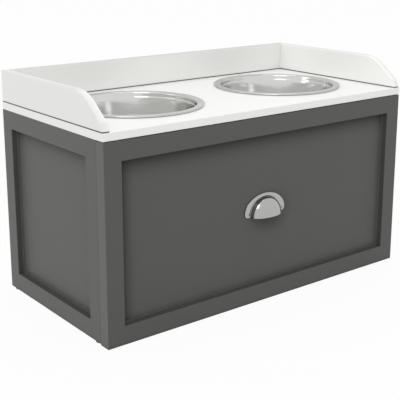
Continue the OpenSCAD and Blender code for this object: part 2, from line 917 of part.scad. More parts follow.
// Bowl: one pressed sheet, from the middle of its floor to the rolled edge of its rim
module bowl_section() {
    floor_c = [floor_d / 2, bowl_floor_z];
    wall_foot = [waist_d / 2, bowl_floor_z];
    mouth = [mouth_r, rim_h];
    bead = [rim_d / 2 - bead_r, rim_h];
    polygon(sheet(
        concat(
            [[0, bowl_floor_z]],
            corner(floor_c, wall_foot, mouth, floor_turn_r),
            corner(wall_foot, mouth, bead, mouth_turn_r),
            [for (i = [0 : arc_steps]) let (a = 180 * i / arc_steps)
                bead + bead_r * [sin(a), cos(a) - 1]]
        ),
        bowl_sheet
    ));
}
module bowl(x) {
    color(bowl_steel) placed() translate([x, bowl_y, top_z])
        rotate_extrude($fn = facets) bowl_section();
}
module bowl_left() {
    bowl(-bowl_x);
}
module bowl_right() {
    bowl(bowl_x);
}

top_board();
gallery_back_rail();
gallery_left_cheek();
gallery_right_cheek();
left_side_front_stile();
left_side_rear_stile();
left_side_top_rail();
left_side_bottom_rail();
left_side_panel();
right_side_front_stile();
right_side_rear_stile();
right_side_top_rail();
right_side_bottom_rail();
right_side_panel();
base_board();
back_panel();
side_frame_dowels();
cabinet_dowels();
cam_locks();
cam_bolts();
gallery_screws();
gallery_dowels();
back_panel_screws();
glides();
runner_channel_left();
runner_channel_right();
runner_channel_screws();
drawer_front_left_stile();
drawer_front_right_stile();
drawer_front_top_rail();
drawer_front_bottom_rail();
drawer_front_panel();
drawer_front_dowels();
drawer_box_left_side();
drawer_box_right_side();
drawer_box_inner_front();
drawer_box_back();
drawer_box_bottom();
drawer_box_dowels();
drawer_front_screws();
runner_slide_left();
runner_slide_right();
runner_slide_screws();
cup_pull();
pull_screws();
ball_cage_left();
ball_cage_right();
balls_left();
balls_right();
bowl_left();
bowl_right();
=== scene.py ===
from contextlib import contextmanager
from functools import partial
from math import cos, hypot, pi, radians, sin, tan

import bmesh
import bpy
from mathutils import Euler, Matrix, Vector


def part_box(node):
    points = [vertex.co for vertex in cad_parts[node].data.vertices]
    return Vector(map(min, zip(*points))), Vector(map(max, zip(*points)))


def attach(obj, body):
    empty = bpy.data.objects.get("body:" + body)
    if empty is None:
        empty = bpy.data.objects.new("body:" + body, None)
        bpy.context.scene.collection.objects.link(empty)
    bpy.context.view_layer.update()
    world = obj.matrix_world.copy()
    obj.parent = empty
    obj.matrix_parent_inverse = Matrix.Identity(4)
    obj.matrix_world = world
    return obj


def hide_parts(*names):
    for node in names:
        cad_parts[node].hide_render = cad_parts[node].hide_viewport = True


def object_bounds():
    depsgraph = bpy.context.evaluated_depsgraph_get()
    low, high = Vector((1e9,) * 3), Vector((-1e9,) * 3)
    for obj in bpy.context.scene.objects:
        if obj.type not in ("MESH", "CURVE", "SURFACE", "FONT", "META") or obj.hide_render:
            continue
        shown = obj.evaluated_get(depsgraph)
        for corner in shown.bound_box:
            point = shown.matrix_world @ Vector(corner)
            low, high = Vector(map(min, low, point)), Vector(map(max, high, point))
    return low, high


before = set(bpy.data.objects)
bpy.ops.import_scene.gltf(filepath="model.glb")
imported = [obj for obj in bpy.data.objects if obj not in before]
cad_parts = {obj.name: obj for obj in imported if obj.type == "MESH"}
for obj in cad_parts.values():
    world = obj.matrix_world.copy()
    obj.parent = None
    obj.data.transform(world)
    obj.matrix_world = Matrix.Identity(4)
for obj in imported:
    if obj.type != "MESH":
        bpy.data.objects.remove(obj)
cad_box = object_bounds()
scene = bpy.context.scene
scene.view_settings.view_transform = "Standard"

# Camera: it stands off the left front corner and looks a little down. Its shift is kept
# small, so the upright edges lean together slightly.
CAMERA_PLACE = (-0.9075, -1.1332, 0.5711)
CAMERA_DOWN = radians(13.744)
CAMERA_TURN = radians(37.96)
CAMERA_LENS = 80.16
CAMERA_SENSOR = 36.0
CAMERA_SHIFT = -0.12


def new_object(name, data):
    """An object that is linked to the scene."""
    made = bpy.data.objects.new(name, data)
    scene.collection.objects.link(made)
    return made


lens = bpy.data.cameras.new("camera")
lens.sensor_width = CAMERA_SENSOR
lens.lens = CAMERA_LENS
lens.shift_y = CAMERA_SHIFT
camera = new_object("camera", lens)
camera.location = CAMERA_PLACE
camera.rotation_euler = Euler((pi / 2 - CAMERA_DOWN, 0, -CAMERA_TURN))
scene.camera = camera


# Studio: a plain pale floor, an even white surround and three broad lamps. The camera,
# gloss and polished steel see the surround as plain white.
WHITE = (1, 1, 1, 1)
SURROUND_LIGHT = 0.86
FLOOR_REACH = 8.0
FLOOR_COLOUR = (0.8, 0.8, 0.8, 1)
FLOOR_WHITENESS = 0.94
OBJECT_MIDDLE = (cad_box[0] + cad_box[1]) / 2


class Value:
    """One output of a node, the first unless another is named. Brackets give the node's
    other outputs, and a value can be reckoned with as a number can."""

    def __init__(self, node, output=0):
        self.node = node
        self.output = output
        self.tree = node.id_data

    def __getitem__(self, output):
        return Value(self.node, output)

    def __abs__(self):
        return reckon("ABSOLUTE", self)

    def __add__(self, other):
        return reckon("ADD", self, other)

    def __radd__(self, other):
        return reckon("ADD", other, self)

    def __sub__(self, other):
        return reckon("SUBTRACT", self, other)

    def __rsub__(self, other):
        return reckon("SUBTRACT", other, self)

    def __mul__(self, other):
        return reckon("MULTIPLY", self, other)

    def __truediv__(self, other):
        return reckon("DIVIDE", self, other)


def give(socket, value):
    """Feeds a socket from an output of a node, or sets its own value."""
    if isinstance(value, Value):
        value.tree.links.new(value.node.outputs[value.output], socket)
    else:
        socket.default_value = value


def add(tree, kind, feeds=(), **settings):
    """The value of a new node with its settings, and its inputs fed by name or number."""
    node = tree.nodes.new(kind)
    for name, value in settings.items():
        setattr(node, name, value)
    for name, value in dict(feeds).items():
        give(node.inputs[name], value)
    return Value(node)


def reckon(operation, *values):
    """One sum, product or comparison, in the tree that a value of a node is in."""
    tree = next(value.tree for value in values if isinstance(value, Value))
    return add(tree, "ShaderNodeMath", enumerate(values), operation=operation)


def seen_directly(tree):
    """1 for rays from the camera, from gloss and through glass, and 0 for others."""
    path = add(tree, "ShaderNodeLightPath")
    direct = reckon("MAXIMUM", path["Is Camera Ray"], path["Is Glossy Ray"])
    return reckon("MAXIMUM", direct, path["Is Transmission Ray"])


surround = bpy.data.worlds.new("studio")
surround.use_nodes = True
scene.world = surround
tree = surround.node_tree
strength = add(tree, "ShaderNodeMix", {
    "Factor": seen_directly(tree), "A": SURROUND_LIGHT, "B": 1.0,
}, data_type="FLOAT")
backdrop = tree.nodes["Background"]
give(backdrop.inputs["Color"], WHITE)
give(backdrop.inputs["Strength"], strength["Result"])

floor_mesh = bpy.data.meshes.new("studio_floor")
floor_corners = ((-1, -1), (1, -1), (1, 1), (-1, 1))
floor_mesh.from_pydata(
    [(x * FLOOR_REACH, y * FLOOR_REACH, 0) for x, y in floor_corners], [], [(0, 1, 2, 3)]
)
studio_floor = new_object("studio_floor", floor_mesh)
floor_finish = bpy.data.materials.new("studio_floor")
floor_finish.use_nodes = True
tree = floor_finish.node_tree
matt = tree.nodes["Principled BSDF"]
give(matt.inputs["Base Color"], FLOOR_COLOUR)
give(matt.inputs["Roughness"], 1.0)
glow = add(tree, "ShaderNodeEmission", {"Color": WHITE, "Strength": 1.0})
share = seen_directly(tree) * FLOOR_WHITENESS
blend = add(tree, "ShaderNodeMixShader", {0: share, 1: Value(matt), 2: glow})
give(tree.nodes["Material Output"].inputs["Surface"], blend)
floor_mesh.materials.append(floor_finish)


def lamp(name, place, size, power):
    """A broad square lamp that faces the object."""
    light = bpy.data.lights.new(name, "AREA")
    light.size = size
    light.energy = power
    made = new_object(name, light)
    made.location = place
    made.rotation_euler = (OBJECT_MIDDLE - Vector(place)).to_track_quat("-Z", "Y").to_euler()


lamp("key_lamp", (-3.8, -3.0, 5.0), size=2.6, power=80)
lamp("top_lamp", (0.5, 1.0, 6.0), size=3.6, power=48)
lamp("side_lamp", (-6.4, 2.4, 2.4), size=2.4, power=24)


# Framed sides: stiles and rails of fibreboard round a thin panel, doweled, glued, filled
# flush at the joints and sprayed satin grey. The recess's walls are matt, with painted shade
# on them, and the panel has painted shade towards its edges.
SPRAY_BUMP = (0.05, 0.0004)
MERGE = 1e-6
NEAR = 1e-5
FLAT_WITHIN = radians(0.5)
EDGE_FROM = radians(15)
EASE_STEPS = 3
SMOOTH_TO = 32
FLAT_SHARE = 1e4
# The sides take the drawer front's grey made lighter, as painted light. The recess takes a lighter
# grey again, as painted light on its step, and its walls a share of it as painted shade.
SIDE_GREY_LIT = (0.106, 0.106, 0.1014)
GREY_SPRAY = (0.4, 0.14)
RECESS_GREY_LIT = (0.118, 0.118, 0.113)
WALL_SPRAY = (0.8, 0.05)
WALL_SHADE = 0.65
STEP_W = 0.003
STEP_D = 0.008
PANEL_D = 0.0111
FRAME_EASE = 0.0007


def new_tree(name, kind, inputs, outputs):
    """An empty tree with named inputs and outputs, as dicts of their kinds."""
    tree = bpy.data.node_groups.new(name, kind)
    for in_out, sockets in (("INPUT", inputs), ("OUTPUT", outputs)):
        for label, socket in sockets.items():
            tree.interface.new_socket(label, in_out=in_out, socket_type="NodeSocket" + socket)
    given = Value(tree.nodes.new("NodeGroupInput"))
    return tree, given, tree.nodes.new("NodeGroupOutput").inputs


def tint(colour, factor):
    """A colour times a factor."""
    grey = add(factor.tree, "ShaderNodeCombineColor", {0: factor, 1: factor, 2: factor})
    return add(factor.tree, "ShaderNodeMix", {0: 1.0, 6: colour, 7: grey},
               data_type="RGBA", blend_type="MULTIPLY")[2]


# Cloudiness that every finish has in some measure: a slow drift, and a fine grain
mottle, given, out = new_tree("mottle", "ShaderNodeTree", {
    "Place": "Vector", "Colour": "Color", "Roughness": "Float", "Drift Scale": "Float",
    "Grain Scale": "Float", "Colour Change": "Float", "Gloss Change": "Float",
}, {"Colour": "Color", "Roughness": "Float", "Grain": "Float"})
slow = add(mottle, "ShaderNodeTexNoise",
           {"Vector": given["Place"], "Scale": given["Drift Scale"], "Detail": 3.0})
fine = add(mottle, "ShaderNodeTexNoise",
           {"Vector": given["Place"], "Scale": given["Grain Scale"], "Detail": 1.0})
swing = slow["Fac"] - 0.5
give(out["Colour"], tint(given["Colour"], swing * given["Colour Change"] + 1.0))
give(out["Roughness"], swing * given["Gloss Change"] + given["Roughness"])
give(out["Grain"], fine["Fac"])

# Painted shade next to an edge: full at the edge, and none at a reach from it
edge_fade, given, out = new_tree("edge_fade", "ShaderNodeTree", {
    "Distance": "Float", "Reach": "Float", "Darkest": "Float", "Bend": "Float",
}, {"Factor": "Float"})
held = add(edge_fade, "ShaderNodeClamp", {"Value": given["Distance"] / given["Reach"]})
near = reckon("POWER", 1.0 - held, given["Bend"])
give(out["Factor"], 1.0 - near * (1.0 - given["Darkest"]))


def mottled(tree, place, colour, roughness, drift_scale=9.0, grain_scale=900.0,
            colour_change=0.05, gloss_change=0.1):
    """The colour, the roughness and the grain of a cloudy skin."""
    return add(tree, "ShaderNodeGroup", {
        "Place": place, "Colour": (*colour, 1), "Roughness": roughness,
        "Drift Scale": drift_scale, "Grain Scale": grain_scale,
        "Colour Change": colour_change, "Gloss Change": gloss_change,
    }, node_tree=mottle)


def fade(distance, reach, darkest, bend=1.0):
    """How much light an edge leaves on a surface, at a distance from it."""
    return add(distance.tree, "ShaderNodeGroup", {
        "Distance": distance, "Reach": reach, "Darkest": darkest, "Bend": bend,
    }, node_tree=edge_fade)


def new_finish(name, metallic=0.0, specular=0.5, **others):
    """A material whose even values are set, its tree, its shader and its place in metres."""
    material = bpy.data.materials.new(name)
    material.use_nodes = True
    tree = material.node_tree
    shader = tree.nodes["Principled BSDF"]
    give(shader.inputs["Metallic"], metallic)
    give(shader.inputs["Specular IOR Level"], specular)
    for label, value in others.items():
        give(shader.inputs[label.title()], value)
    return material, tree, shader, add(tree, "ShaderNodeTexCoord")["Object"]


def cover(shader, colour, roughness, height, strength, depth):
    """Gives a shader its colour, its roughness and a small bump from a height."""
    give(shader.inputs["Base Color"], colour)
    give(shader.inputs["Roughness"], roughness)
    give(shader.inputs["Normal"], add(height.tree, "ShaderNodeBump", {
        "Height": height, "Strength": strength, "Distance": depth,
    }))


def coat(name, colour, roughness, bump, shading=None, cloudy=(), **even):
    """A plain coat with the scales and changes of its cloudiness, and the strength and depth
    of its bump. Shading paints light and shade, as a factor on the colour from a place on it."""
    material, tree, shader, place = new_finish(name, **even)
    skin = mottled(tree, place, colour, roughness, *cloudy)
    shown = skin["Colour"]
    if shading:
        shown = tint(shown, shading(add(tree, "ShaderNodeSeparateXYZ", {0: place})))
    cover(shader, shown, skin["Roughness"], skin["Grain"], *bump)
    return material


def sprayed(name, colour, spray, shading):
    """Lacquer on a board, sprayed with a roughness and a strength of gloss."""
    roughness, gloss = spray
    return coat(name, colour, roughness, SPRAY_BUMP, shading, specular=gloss)


def settle(made):
    """Puts the result of an object's modifiers in its mesh, and removes them."""
    graph = bpy.context.evaluated_depsgraph_get()
    done = bpy.data.meshes.new_from_object(made.evaluated_get(graph))
    made.modifiers.clear()
    made.data = done
    done.name = made.name


def dress(made, material, body, slot, *nodes):
    """Gives a piece its finish and its body, and hides the CAD nodes that it stands for. Its slot
    is not used.
    """
    made.data.materials.clear()
    made.data.materials.append(material)
    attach(made, body)
    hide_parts(*nodes)


def finish_node(node, material):
    """Gives a CAD node that stays as it is its finish."""
    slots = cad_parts[node].data.materials
    slots.clear()
    slots.append(material)


@contextmanager
def reworked(source, result):
    """Opens a mesh for editing, and puts what comes of it in a mesh, its own or another."""
    work = bmesh.new()
    work.from_mesh(source)
    yield work
    work.to_mesh(result)
    work.free()


def in_plane(edge, axis, at):
    """True if both ends of an edge lie at a place on an axis."""
    return all(abs(v.co[axis] - at) < NEAR for v in edge.verts)


def in_planes(edge, planes):
    """True if an edge lies in one of some planes, which are places on each axis."""
    return any(in_plane(edge, axis, at) for axis, places in planes.items() for at in places)


def box_edges(node, along=None):
    """Weighs the edges that lie on two sides of a node's box, all or along one axis."""
    low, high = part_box(node)

    def weigh(edge):
        sides = [a for a in range(3) if in_plane(edge, a, low[a]) or in_plane(edge, a, high[a])]
        return len(sides) >= 2 and along not in sides

    return weigh


def smoothed(mesh, degrees):
    """Lets light run smoothly over the edges of a mesh up to an angle."""
    mesh.shade_smooth()
    mesh.set_sharp_from_angle(angle=radians(degrees))


def level(mesh):
    """Keeps a board's flat faces flat to the light. Its roundings, which have the second
    material, turn to a flat face where they meet it."""
    smoothed(mesh, SMOOTH_TO)
    around = [[] for vert in mesh.vertices]
    for face in mesh.polygons:
        share = face.area * (1.0 if face.material_index else FLAT_SHARE)
        for vert in face.vertices:
            around[vert].append((face.normal.copy(), share))
    normals = []
    for face in mesh.polygons:
        for vert in face.vertices:
            near = [normal * share for normal, share in around[vert]
                    if normal.dot(face.normal) > cos(radians(SMOOTH_TO))]
            normals.append(sum(near, Vector()).normalized())
    mesh.normals_split_custom_set(normals)


def round_off(made, radius):
    """Adds a modifier that rounds the weighed edges of an object."""
    rounding = made.modifiers.new("rounding", "BEVEL")
    rounding.limit_method = "WEIGHT"
    rounding.width = radius
    rounding.segments = EASE_STEPS
    return rounding


def eased(node, radius, weigh, material, body, slot, cuts=(), inner=None, inner_finish=None):
    """A copy of a board with its weighed edges rounded, kept inside the board's own box. At
    the cuts, which are places on each axis, an edge may begin or end. Faces that inner picks
    get the inner finish."""
    mesh = bpy.data.meshes.new(node + "_eased")
    with reworked(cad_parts[node].data, mesh) as work:
        bmesh.ops.remove_doubles(work, verts=work.verts, dist=MERGE)
        bmesh.ops.dissolve_limit(work, angle_limit=FLAT_WITHIN, verts=work.verts,
                                 edges=work.edges)
        for axis, places in dict(cuts).items():
            across = Vector([float(i == axis) for i in range(3)])
            for at in places:
                bmesh.ops.bisect_plane(work, geom=[*work.verts, *work.edges, *work.faces],
                                       plane_co=across * at, plane_no=across, dist=MERGE)
        weights = work.edges.layers.float.new("bevel_weight_edge")
        for edge in work.edges:
            if len(edge.link_faces) == 2 and edge.calc_face_angle_signed() > EDGE_FROM:
                edge[weights] = float(weigh(edge))
    if mesh.has_custom_normals:
        mesh.attributes.remove(mesh.attributes["custom_normal"])
    mesh.materials.append(None)
    mesh.materials.append(None)
    made = new_object(mesh.name, mesh)
    rounding = round_off(made, radius)
    rounding.use_clamp_overlap = False
    rounding.material = 1
    settle(made)
    low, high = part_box(node)
    for vert in made.data.vertices:
        vert.co = [min(max(vert.co[i], low[i]), high[i]) for i in range(3)]
    level(made.data)
    dress(made, material, body, slot, node)
    if inner:
        made.data.materials.append(inner_finish)
        for face in made.data.polygons:
            face.material_index = int(inner(face.center))


stile_low, stile_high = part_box("left_side_front_stile")
foot_low, foot_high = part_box("left_side_bottom_rail")
head_low, head_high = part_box("left_side_top_rail")
rear_low, rear_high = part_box("left_side_rear_stile")
side_x = abs(stile_low.x)
side_open_front = stile_high.y - STEP_W
side_open_rear = rear_low.y + STEP_W
side_open_foot = foot_high.z - STEP_W
side_open_head = head_low.z + STEP_W


def wall_shading(depth):
    """Paints shade on a recess's wall, darker than the step behind it."""
    return lambda at: fade(depth(at) - (STEP_D - MERGE), NEAR, WALL_SHADE)


def side_depth(at):
    """How far a place lies behind the outer face of its side."""
    return side_x - abs(at["X"])


def side_panel_shading(at):
    """Paints shade on a side's panel under the top rail, and a little over the foot."""
    return (fade(side_open_head - at["Z"], reach=0.045, darkest=0.38, bend=3.2)
            * fade(at["Z"] - side_open_foot, reach=0.012, darkest=0.88))


def foot_shading(foot):
    """Paints shade on a frame towards the floor."""
    return lambda at: fade(at["Z"] - foot, reach=0.007, darkest=0.82)


grey_frame = sprayed("satin_grey_frames", SIDE_GREY_LIT, GREY_SPRAY, foot_shading(foot_low.z))
side_walls = sprayed("satin_grey_side_recess", RECESS_GREY_LIT, WALL_SPRAY, wall_shading(side_depth))
side_panels = sprayed("satin_grey_side_panels", SIDE_GREY_LIT, GREY_SPRAY, side_panel_shading)


def framed(whole, ends, axis, face, outline, opening, paint, walls, body, slot):
    """Eases the outline of a frame of two stiles and two rails and the edge of its recess, in
    the plane of its face, and leaves out the glued joints. The walls and the step of the
    recess get a finish of their own: painted light on the step, painted shade on the walls."""
    def inside(place):
        return all(low - NEAR < place[i] < high + NEAR for i, (low, high) in opening.items())

    def weigh(edge):
        middle = (edge.verts[0].co + edge.verts[1].co) / 2
        return in_plane(edge, axis, face) and (
            in_planes(edge, outline) or in_planes(edge, opening) and inside(middle))

    def wall(place):
        return FRAME_EASE + NEAR < abs(place[axis] - face) < PANEL_D and inside(place)

    for part in (f"{ends[0]}_stile", f"{ends[1]}_stile", "top_rail", "bottom_rail"):
        eased(f"{whole}_{part}", FRAME_EASE, weigh, paint, body, slot, opening, wall, walls)


side_outline = {1: (rear_high.y,), 2: (foot_low.z, head_high.z)}
side_opening = {1: (side_open_front, side_open_rear), 2: (side_open_foot, side_open_head)}
for side, face in (("left", -side_x), ("right", side_x)):
    framed(f"{side}_side", ("front", "rear"), 0, face, side_outline, side_opening, grey_frame,
           side_walls, "cabinet", "painted_side")
    finish_node(f"{side}_side_panel", side_panels)


# Dowels: turned beech with glue flutes and chamfered ends. They join stiles and rails,
# the boards of the cabinet, the gallery's corner and the corners of the drawer box.
FLUTES = 14
FLUTE_SHARE = 0.06
CHAMFER_SHARE = 0.25
FLECK_DARK = 0.8
FLECK_CHANGE = 0.3
BEECH = (0.55, 0.36, 0.2)


def solids(node):
    """The separate solids of a CAD node, each as the list of its points."""
    work = bmesh.new()
    work.from_mesh(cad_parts[node].data)
    bmesh.ops.remove_doubles(work, verts=work.verts, dist=MERGE)
    reached = set()
    found = []
    for start in work.verts:
        if start in reached:
            continue
        reached.add(start)
        group = [start]
        for vert in group:
            for edge in vert.link_edges:
                other = edge.other_vert(vert)
                if other not in reached:
                    reached.add(other)
                    group.append(other)
        found.append([vert.co.copy() for vert in group])
    work.free()
    return found


def extent(points):
    """The lowest and the highest corner of the box round some points."""
    return (Vector([min(p[i] for p in points) for i in range(3)]),
            Vector([max(p[i] for p in points) for i in range(3)]))


def lie(points):
    """How a pin or screw lies: the middle of its thicker end, its way from there as a vector
    of its own length, and the radius of that end."""
    low, high = extent(points)
    axis = max(range(3), key=lambda i: high[i] - low[i])
    middle = (low + high) / 2
    ends = []
    for place in (low[axis], high[axis]):
        tip = middle.copy()
        tip[axis] = place
        ends.append((max((p - tip).length for p in points if abs(p[axis] - place) < NEAR), tip))
    thick, thin = (ends[0], ends[1]) if ends[0][0] > ends[1][0] - NEAR else (ends[1], ends[0])
    return thick[1], thin[1] - thick[1], thick[0]


def new_mesh(name, layers):
    """A closed object of rings of as many points each, with both ends filled."""
    count = len(layers[0])
    total = count * len(layers)
    faces = [tuple(range(count)), tuple(range(total - count, total))]
    for start in range(0, total - count, count):
        for j in range(count):
            k = (j + 1) % count
            faces.append((start + j, start + k, start + count + k, start + count + j))
    mesh = bpy.data.meshes.new(name)
    mesh.from_pydata([point for layer in layers for point in layer], [], faces)
    with reworked(mesh, mesh) as work:
        bmesh.ops.remove_doubles(work, verts=work.verts, dist=MERGE)
        bmesh.ops.recalc_face_normals(work, faces=work.faces)
    return new_object(name, mesh)


def run(made, tree, values):
    """Runs a tree on an object with values by name, and keeps the result as a plain mesh."""
    modifier = made.modifiers.new(tree.name, "NODES")
    modifier.node_group = tree
    for item in tree.interface.items_tree:
        if item.in_out == "INPUT" and item.name in values:
            modifier[item.identifier] = values[item.name]
    settle(made)


def plain(geometry, material):
    """Turns what comes out of a tree into plain faces of one material."""
    real = add(geometry.tree, "GeometryNodeRealizeInstances", {0: geometry})
    return add(geometry.tree, "GeometryNodeSetMaterial", {"Geometry": real, "Material": material})


# One pin or screw on each point, along the point's own way and turned by chance
set_in, given, out = new_tree("set_in_places", "GeometryNodeTree", {
    "Geometry": "Geometry", "Pin": "Object", "Finish": "Material", "Turn Seed": "Int",
}, {"Geometry": "Geometry"})
way = add(set_in, "GeometryNodeInputNamedAttribute", {"Name": "way"}, data_type="FLOAT_VECTOR")
aimed = add(set_in, "FunctionNodeAlignRotationToVector", {"Vector": way}, axis="Z")
chance = add(set_in, "FunctionNodeRandomValue", {2: 0.0, 3: pi, "Seed": given["Turn Seed"]},
             data_type="FLOAT")
about = add(set_in, "ShaderNodeCombineXYZ", {2: chance[1]})
spin = add(set_in, "FunctionNodeEulerToRotation", {0: about})
placed = add(set_in, "FunctionNodeRotateRotation", {"Rotation": aimed, "Rotate By": spin},
             rotation_space="LOCAL")
pin = add(set_in, "GeometryNodeObjectInfo", {"Object": given["Pin"]})
copies = add(set_in, "GeometryNodeInstanceOnPoints", {
    "Points": given["Geometry"], "Instance": pin["Geometry"], "Rotation": placed,
})
give(out["Geometry"], plain(copies, given["Finish"]))


def set_out(node, suffix, make, material, body, slot, seed=1, how=lie):
    """Sets a pin or screw in the place of each solid of a node, as one piece. How gives each
    its place, its way and its radius, and make makes one of a radius and a length."""
    places = [how(points) for points in solids(node)]
    pin = make(places[0][2], places[0][1].length)
    mesh = bpy.data.meshes.new(node + suffix)
    mesh.from_pydata([point for point, way, radius in places], [], [])
    ways = mesh.attributes.new("way", "FLOAT_VECTOR", "POINT")
    for i, (point, way, radius) in enumerate(places):
        ways.data[i].vector = way
    made = new_object(mesh.name, mesh)
    run(made, set_in, {"Pin": pin, "Finish": material, "Turn Seed": seed})
    dress(made, material, body, slot, node)
    bpy.data.objects.remove(pin)


def dowel(radius, length):
    """A fluted dowel along Z from the origin."""
    chamfer = radius * CHAMFER_SHARE
    star = [(cos(pi * j / FLUTES) * share, sin(pi * j / FLUTES) * share)
            for j in range(2 * FLUTES) for share in [1 - FLUTE_SHARE * (j % 2)]]
    return new_mesh("dowel", [[(x * r, y * r, z) for x, y in star] for z, r in (
        (0, radius - chamfer), (chamfer, radius), (length - chamfer, radius),
        (length, radius - chamfer))])


beech, tree, shader, place = new_finish("turned_beech", specular=0.3)
flecks = add(tree, "ShaderNodeTexVoronoi", {"Vector": place, "Scale": 900.0})["Distance"]
skin = mottled(tree, place, BEECH, roughness=0.65, drift_scale=120.0, colour_change=0.35)
cover(shader, tint(skin["Colour"], flecks * FLECK_CHANGE + FLECK_DARK), skin["Roughness"],
      flecks, strength=0.2, depth=0.0002)

for node, body in (("side_frame_dowels", "cabinet"), ("cabinet_dowels", "cabinet"),
                   ("gallery_dowels", "cabinet"), ("drawer_front_dowels", "drawer"),
                   ("drawer_box_dowels", "drawer")):
    set_out(node, "_fluted", dowel, beech, body, "beech")


# Base board and back panel: bare fibreboard, sawn to size with its sharp corners broken.
# The base is held by cams and dowels, and the back slides in grooves and is screwed.
RAW = (0.49, 0.36, 0.235)
RAW_EASE = 0.0005
FIBRE_DARK = 0.79
FIBRE_CHANGE = 0.42
SPECK_DARK = 0.82
SPECK_CORE = 0.08
SPECK_EDGE = 0.2


def ramp(value, start, end, first=0.0, last=1.0):
    """Turns a value between start and end into one between first and last."""
    return add(value.tree, "ShaderNodeMapRange", {
        "Value": value, "From Min": start, "From Max": end, "To Min": first, "To Max": last,
    })


raw_board, tree, shader, place = new_finish("bare_fibreboard", specular=0.25)
fibres = add(tree, "ShaderNodeTexNoise", {
    "Vector": place, "Scale": 420.0, "Detail": 6.0, "Roughness": 0.7, "Distortion": 1.5,
})["Fac"]
specks = add(tree, "ShaderNodeTexVoronoi", {"Vector": place, "Scale": 260.0, "Randomness": 1.0})
skin = mottled(tree, place, RAW, roughness=0.78, drift_scale=14.0, colour_change=0.16)
raw_level = (fibres * FIBRE_CHANGE + FIBRE_DARK) * ramp(
    specks["Distance"], SPECK_CORE, SPECK_EDGE, first=SPECK_DARK)
cover(shader, tint(skin["Colour"], raw_level), skin["Roughness"], fibres,
      strength=0.25, depth=0.0003)

for node in ("base_board", "back_panel"):
    eased(node, RAW_EASE, box_edges(node), raw_board, "cabinet", "raw_board")


# Screws: hardened steel, zinc plated, with a cross recess and a rolled thread. Countersunk
# ones hold the gallery, the runners and the drawer front, and pan heads hold the back.
SCREW_D = 0.0034
HEAD_EASE = 0.0001
PAN_H = 0.0018
PAN_BEND = 0.75
NECK_SHARE = 0.9
BLUNT = 0.0003
CORE_SHARE = 0.68
SMOOTH_SHARE = 0.12
THREAD_PITCH = 0.0012
THREAD_ROWS = 6
CROSS_SHARE = 0.14
CROSS_MOUTH = 1.15
CROSS_FLOOR = 0.6
ZINC = (0.62, 0.64, 0.67)
METAL_BUMP = 0.0002


def arc(centre, radius, start, end, steps, height=None):
    """Points of an arc, or of an ellipse with a height of its own, with angles in degrees."""
    angles = [radians(start + (end - start) * i / steps) for i in range(steps + 1)]
    return [(centre[0] + radius * cos(a), centre[1] + (height or radius) * sin(a)) for a in angles]


def straight(radius, start, end, steps):
    """Points up the side of a straight shank in a turned outline."""
    return [(radius, start + (end - start) * i / steps) for i in range(steps + 1)]


# An outline turned about an upright axis, with a thread on it where one is asked for
turn, given, out = new_tree("turn_outline", "GeometryNodeTree", {
    "Geometry": "Geometry", "Points": "Int", "Segments": "Int", "Centre": "Vector",
    "Thread Start": "Float", "Thread End": "Float", "Pitch": "Float", "Ridge": "Float",
    "Finish": "Material",
}, {"Geometry": "Geometry"})
sheet = add(turn, "GeometryNodeMeshGrid", {
    "Size X": 1.0, "Size Y": 1.0, "Vertices X": given["Segments"] + 1,
    "Vertices Y": given["Points"],
})
uv = add(turn, "ShaderNodeSeparateXYZ", {0: sheet["UV Map"]})
outline = add(turn, "GeometryNodeSampleIndex", {
    "Geometry": given["Geometry"], "Value": add(turn, "GeometryNodeInputPosition"),
    "Index": reckon("ROUND", uv["Y"] * (given["Points"] - 1)),
}, data_type="FLOAT_VECTOR")
point = add(turn, "ShaderNodeSeparateXYZ", {0: outline})
phase = reckon("FRACT", point["Z"] / given["Pitch"] - uv["X"])
ridge = 1.0 - abs(phase * 2.0 - 1.0)
inside = (reckon("GREATER_THAN", point["Z"], given["Thread Start"])
          * reckon("LESS_THAN", point["Z"], given["Thread End"]))
reach = point["X"] + ridge * inside * given["Ridge"]
angle = uv["X"] * (2 * pi)
round_about = add(turn, "ShaderNodeCombineXYZ", {
    0: reach * reckon("COSINE", angle), 1: reach * reckon("SINE", angle), 2: point["Z"],
})
spot = add(turn, "ShaderNodeVectorMath", {0: round_about, 1: given["Centre"]}, operation="ADD")
shaped = add(turn, "GeometryNodeSetPosition", {"Geometry": sheet["Mesh"], "Position": spot})
mapped = add(turn, "GeometryNodeStoreNamedAttribute", {
    "Geometry": shaped, "Name": "UVMap", "Value": sheet["UV Map"],
}, data_type="FLOAT2", domain="CORNER")
closed = add(turn, "GeometryNodeMergeByDistance", {"Geometry": mapped, "Distance": MERGE})
give(out["Geometry"], plain(closed, given["Finish"]))


def turned(name, outline, segments, smooth, centre=(0, 0, 0), thread=(0, 0, 1, 0), finish=None):
    """Turns an outline of radius and height about an upright axis into a closed piece, smooth
    up to an angle in degrees. A thread has a start, an end, a pitch and a ridge's height."""
    mesh = bpy.data.meshes.new(name)
    mesh.from_pydata([(r, 0, z) for r, z in outline], [], [])
    made = new_object(name, mesh)
    ridges = dict(zip(("Thread Start", "Thread End", "Pitch", "Ridge"), map(float, thread)))
    run(made, turn, {
        "Points": len(outline), "Segments": segments, "Centre": centre, "Finish": finish, **ridges,
    })
    with reworked(made.data, made.data) as work:
        bmesh.ops.recalc_face_normals(work, faces=work.faces)
    smoothed(made.data, smooth)
    return made


def combine(made, other, operation):
    """Adds another object to a piece, or cuts it out of it."""
    change = made.modifiers.new("change", "BOOLEAN")
    change.operation = operation
    change.solver = "EXACT"
    change.object = other
    settle(made)
    bpy.data.objects.remove(other)


